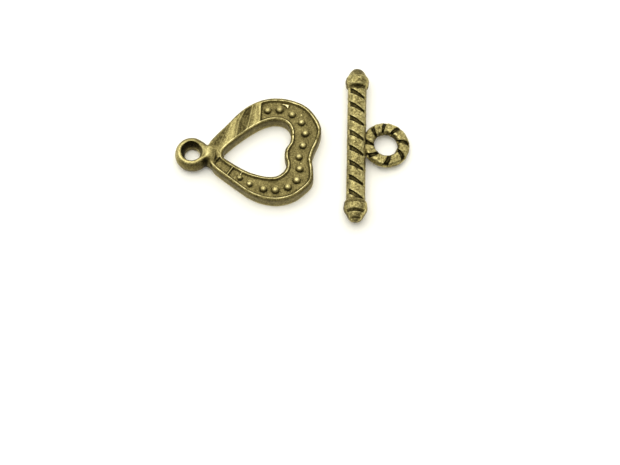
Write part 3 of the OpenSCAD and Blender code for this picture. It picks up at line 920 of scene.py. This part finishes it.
# How much darker or brighter a part of the bar is than its relief alone makes it. The shaft's sides carry
# painted light, and the knobs' sides painted light and shade
barPaint = {
    "strand": -0.04, "shoulder": 0.09, "groove": -0.25, "grooveWall": -0.23, "side": 0.06,
    "sideLine": -0.16, "knob": -0.03, "knobSideLightAndShade": 0.15,
    "ropeStrand": -0.03, "ropeGroove": -0.30, "ropeWall": -0.26, "ropeSide": -0.12, "ropeHole": -0.22,
}

# Where those paints lie, and half their width or over how far they fade. Walls are from a
# groove's edge and the hole's paint from its edge, in mm. The others are cosines of the angle
# from the crest, or for the rope's side the sine of the angle from the ring's plane.
barPaintAt = {
    "wall": [-0.01, 0.07], "ropeWall": [-0.03, 0.09], "ropeHole": [0.18, 0.2], "ropeSide": [0.8, 2 / 3],
    "sideLine": [0.46, 0.05], "shoulderTop": [0.96, 0.2], "knobLit": [1, 0.4], "knobDark": [0.55, 0.35],
    "shoulderEnd": [0.03, 0.12],  # beyond the angle at which the grooves end
    "knobShadeFall": 1.7,  # how strongly the knob's lowest sides are darkened, as painted shade
}


def barFrame():
    # The bar's own axes: x to its ring, y along it, z along the ring's axis
    roll = math.acos(ringAxis[2])
    turn = math.atan2(ringAxis[1], ringAxis[0])
    xAxis = np.array([math.cos(roll) * math.cos(turn), math.cos(roll) * math.sin(turn), -math.sin(roll)])
    yAxis = np.array([-math.sin(turn), math.cos(turn), 0])
    middle = ringPlace - bar["reach"] * xAxis - bar["ringAt"] * yAxis
    return np.stack([xAxis, yAxis, ringAxis]), middle


def shaftAndKnobs():
    # Rings of points along the bar. A ring's radius comes from the knob's table or the shaft,
    # less a groove that winds round it and fades at the two lines where the mould closed. The
    # shaft's crest is cut flat, at a radius of height / cos(a).
    b, p, at = bar, barPaint, barPaintAt
    half, fine = b["length"] / 2, b["tipFine"]
    axes, middle = barFrame()
    shares = [np.linspace(0, fine, b["tipRings"])[:-1], np.linspace(fine, 1, b["knobRings"])]
    ends = half - b["knob"] * np.concatenate(shares)
    inner = np.linspace(ends[-1], -ends[-1], b["along"] - 2 * len(ends) + 2)[1:-1]
    y = np.concatenate([ends, inner, -ends[::-1]])[:, None]
    a = turnSteps(b["around"])
    a = np.where(a > np.pi, a - 2 * np.pi, a)
    up = np.abs(np.cos(a))
    fromParting = np.abs(np.cos(a + math.radians(b["partingTurn"])))
    plain = fadeIn(fromParting, b["plainFrom"], b["plainFade"])

    spacing = np.mean(np.diff(grooveAt))
    last, more = len(grooveAt) - 1, b["moreGrooves"]
    numbers = np.concatenate([[-more], np.arange(last + 1), [last + more]])
    marks = np.concatenate([[grooveAt[0] - more * spacing], grooveAt, [grooveAt[-1] + more * spacing]])
    turns = np.interp(y + b["lead"] * a / (2 * np.pi), marks, numbers)
    off = np.abs(turns - np.round(turns)) * b["pitch"]
    grooveHalf = b["grooveHalf"] - b["grooveTaper"] * np.sin(a)
    groove = plain * fadeOut(off, grooveHalf, b["grooveWall"])
    crown = plain * b["crown"] * (1 - (2 * off / b["pitch"]) ** 2)
    roundR = b["shaftR"] + crown - b["grooveDepth"] * groove
    seamed = roundR + b["partingRise"] * bell(fromParting, 0, b["partingHalf"])
    flat = b["flatTop"] - b["flatGroove"] * b["grooveDepth"] * groove
    flatR = softMin(seamed * up, flat, b["flatSoft"]) / np.maximum(up, b["flatTo"])
    shaftR = np.where(up > b["flatTo"], flatR, roundR)

    fromTip = (half - np.abs(y)) / b["knob"]
    onShaft = fadeIn(fromTip, *b["knobTo"])
    onKnob = 1 - onShaft
    r = b["collarR"] * np.interp(fromTip, *knobShape.T) * onKnob + shaftR * onShaft

    wall = plain * bell(off - grooveHalf, *at["wall"])
    sideLine = bell(fromParting, *at["sideLine"])
    beyond = fromParting - b["plainFrom"]
    shoulder = fadeOut(fromParting, *at["shoulderTop"]) * fadeIn(beyond, *at["shoulderEnd"])
    # Painted light on the knob's sides, and painted shade on the lowest of them
    flank = fadeOut(up, *at["knobLit"]) - at["knobShadeFall"] * fadeOut(up, *at["knobDark"])
    paint = p["strand"] + (p["groove"] * groove + p["grooveWall"] * wall) * onShaft
    paint = paint + (p["knob"] + p["knobSideLightAndShade"] * flank) * onKnob
    # Painted light, paler towards the shaft's sides, and a dark line along each side
    paint = paint + (p["side"] * (1 - up) + p["sideLine"] * sideLine) * onShaft
    paint = paint + p["shoulder"] * shoulder * (1 - groove) * onShaft
    clean = groove * onShaft
    for end, place, wide, depth, shade in knobLines:
        line = plain * ease(b["lineSharp"] * (1 - np.abs(fromTip - place) / wide)) * (y * end > 0)
        clean = np.maximum(clean, line)
        r = r - depth * line
        paint = paint + shade * line

    local = np.stack([r * np.sin(a), y + 0 * r, r * np.cos(a)], axis=-1)
    r = r + grains(local, barGrains["shaft"]) * np.minimum(r / b["calmTip"], 1)
    local = np.stack([r * np.sin(a), y + 0 * r, r * np.cos(a)], axis=-1)
    paint = paint + grains(local, barGrains["shaftSpeck"]) * (1 - clean)
    return makeMesh("barCasting", local @ axes + middle, paint, closed=False)


def ropeRing():
    # Circles carried round the ring, less a groove that winds round the wire, so that strands
    # stand between the grooves. Their tops are rubbed flat. Above is the angle round the wire
    # from its top, and atTop where a groove through that point crosses the top.
    w, p, at = rope, barPaint, barPaintAt
    axes, middle = barFrame()
    ringR = w["holeR"] + w["wireR"]
    to = turnSteps(w["along"])[:, None]
    a = turnSteps(w["around"])
    above = np.where(a > 1.5 * np.pi, a - 2 * np.pi, a) - np.pi / 2
    atTop = np.degrees(to) - w["lead"] * above / (2 * np.pi)
    atTop = (atTop + 180) % 360 - 180
    marks = np.concatenate([ropeGrooveAt[-1:] - 360, ropeGrooveAt, ropeGrooveAt[:1] + 360])
    turns = np.interp(atTop, marks, np.arange(-1, len(marks) - 1))
    spacing = ringR * np.radians(360 / len(ropeGrooveAt))
    off = np.abs(turns - np.round(turns)) * spacing
    plain = fadeIn(np.abs(np.sin(a)), *w["plainFrom"])
    groove = fadeOut(off, w["grooveHalf"], w["grooveWall"]) * plain
    crown = w["crown"] * (1 - (2 * off / spacing) ** 2)
    r = w["wireR"] - w["sink"] + crown - w["grooveDepth"] * groove
    up = softMin(r * np.sin(a), w["flat"], w["flatSoft"])
    reach = ringR + r * np.cos(a)
    local = np.stack([bar["reach"] + reach * np.cos(to), bar["ringAt"] + reach * np.sin(to), up], axis=-1)
    skin = grains(local, barGrains["rope"])
    local[..., 2] += skin * np.sin(a)
    local[..., 0] += skin * np.cos(a) * np.cos(to)
    local[..., 1] += skin * np.cos(a) * np.sin(to)

    wall = bell(off - w["grooveHalf"], *at["ropeWall"]) * plain
    paint = p["ropeStrand"] + p["ropeGroove"] * groove + p["ropeWall"] * wall
    paint = paint + p["ropeSide"] * fadeOut(np.abs(np.sin(a)), *at["ropeSide"])
    paint = paint + p["ropeHole"] * fadeOut(reach - w["holeR"], *at["ropeHole"])
    paint = paint + grains(local, barGrains["ropeSpeck"]) * (1 - groove)
    return makeMesh("ropeRing", local @ axes + middle, paint, closed=True)


barFinish = {
    **heartFinish,
    "seamRings": 6, "seamRounds": 8, "fineRounds": 8, "fineHollow": 0.05, "tone": 0.50,
}

barCasting = shaftAndKnobs()
fuse(barCasting, [ropeRing()])
finishCasting(barCasting, barFinish)
print("toggle bar made")

castBrass = antiqueBrass()
for piece, node in ((heartCasting, "heart_loop"), (barCasting, "toggle_bar")):
    piece.data.materials.clear()
    piece.data.materials.append(castBrass)
    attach(piece, "root")
    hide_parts(node)


# Table, lights and camera

stage = {
    "tableSize": 3000.0,  # mm
    "tableDrop": 0.02,  # below the pieces' flat backs
    "cardColour": "f7f5e9",
    "cardRough": 0.9, "cardGloss": 0.1,
    "cardLight": "fffaf0",
    "cardPaintedGlow": 0.07,  # a painted glow: the card gives off faint light of its own, in place of the light the wide white room throws back
    "skyColour": "ffffff",
    "skyBack": 0.78,  # strength of the sky beyond the pieces
    "skyFront": 0.0,  # and where the camera stands
    "lookAt": [2.313, -11.773, 0],
    "elevation": 67.4,
    "distance": 194.9,
    "lens": 88.26,
    "sensor": 36,
    "clip": [0.01, 10],  # metres
}

# Soft boxes: place and size in mm, power in watts
lamps = {
    "overhead": {"place": [0, -40, 450], "size": [420, 420], "power": 1.52},
    "beyond": {"place": [20, 330, 400], "size": [620, 360], "power": 0.87},
    "leftSide": {"place": [-260, 60, 320], "size": [260, 260], "power": 0.354},
}


def whiteCard():
    # Matt white card: almost no gloss, there to carry the soft shadows, with a faint painted glow of its
    # own
    material = bpy.data.materials.new("whiteCard")
    tree = emptyTree(material)
    shader = addNode(tree, "ShaderNodeBsdfPrincipled",
                     values={"Base Color": hexColour(stage["cardColour"]), "Roughness": stage["cardRough"],
                             "Specular IOR Level": stage["cardGloss"],
                             "Emission Color": hexColour(stage["cardLight"]),
                             "Emission Strength": stage["cardPaintedGlow"]})
    addNode(tree, "ShaderNodeOutputMaterial", links={"Surface": shader.outputs["BSDF"]})
    return material


def makeTable():
    # One square face under the pieces
    half = stage["tableSize"] / 2 * mm
    low = -stage["tableDrop"] * mm
    corners = [(-half, -half, low), (half, -half, low), (half, half, low), (-half, half, low)]
    mesh = bpy.data.meshes.new("table")
    mesh.from_pydata(corners, [], [(0, 1, 2, 3)])
    mesh.materials.append(whiteCard())
    table = addObject("table", mesh)


def softBox(name, place, size, power):
    # A rectangular lamp that faces the middle of the table
    lamp = bpy.data.lights.new(name, "AREA")
    lamp.shape = "RECTANGLE"
    lamp.size, lamp.size_y = size[0] * mm, size[1] * mm
    lamp.energy = power
    thing = addObject(name, lamp)
    thing.location = Vector(place) * mm
    thing.rotation_euler = (-Vector(place)).to_track_quat("-Z", "Y").to_euler()


def makeSky():
    # Brighter beyond the pieces than where the camera stands, from the direction's y
    world = bpy.data.worlds.new("studio")
    tree = emptyTree(world)
    way = addNode(tree, "ShaderNodeTexCoord").outputs["Generated"]
    parts = addNode(tree, "ShaderNodeSeparateXYZ", links={"Vector": way})
    strength = addNode(tree, "ShaderNodeMapRange",
                       values={"From Min": -1.0, "From Max": 1.0,
                               "To Min": stage["skyFront"], "To Max": stage["skyBack"]},
                       links={"Value": parts.outputs["Y"]}).outputs["Result"]
    sky = addNode(tree, "ShaderNodeBackground", values={"Color": hexColour(stage["skyColour"])},
                  links={"Strength": strength})
    addNode(tree, "ShaderNodeOutputWorld", links={"Surface": sky.outputs["Background"]})
    bpy.context.scene.world = world


def makeCamera():
    # Looks at a place on the table from straight in front, at the set elevation
    camera = bpy.data.cameras.new("camera")
    camera.lens = stage["lens"]
    camera.sensor_width = stage["sensor"]
    camera.clip_start, camera.clip_end = stage["clip"]
    thing = addObject("camera", camera)
    up = math.radians(stage["elevation"])
    back = Vector((0, -math.cos(up), math.sin(up)))
    thing.location = (Vector(stage["lookAt"]) + back * stage["distance"]) * mm
    thing.rotation_euler = (-back).to_track_quat("-Z", "Y").to_euler()
    bpy.context.scene.camera = thing


makeTable()
for name, lamp in lamps.items():
    softBox(name, **lamp)
makeSky()
makeCamera()
bpy.context.scene.view_settings.view_transform = "Standard"
print("stage made")
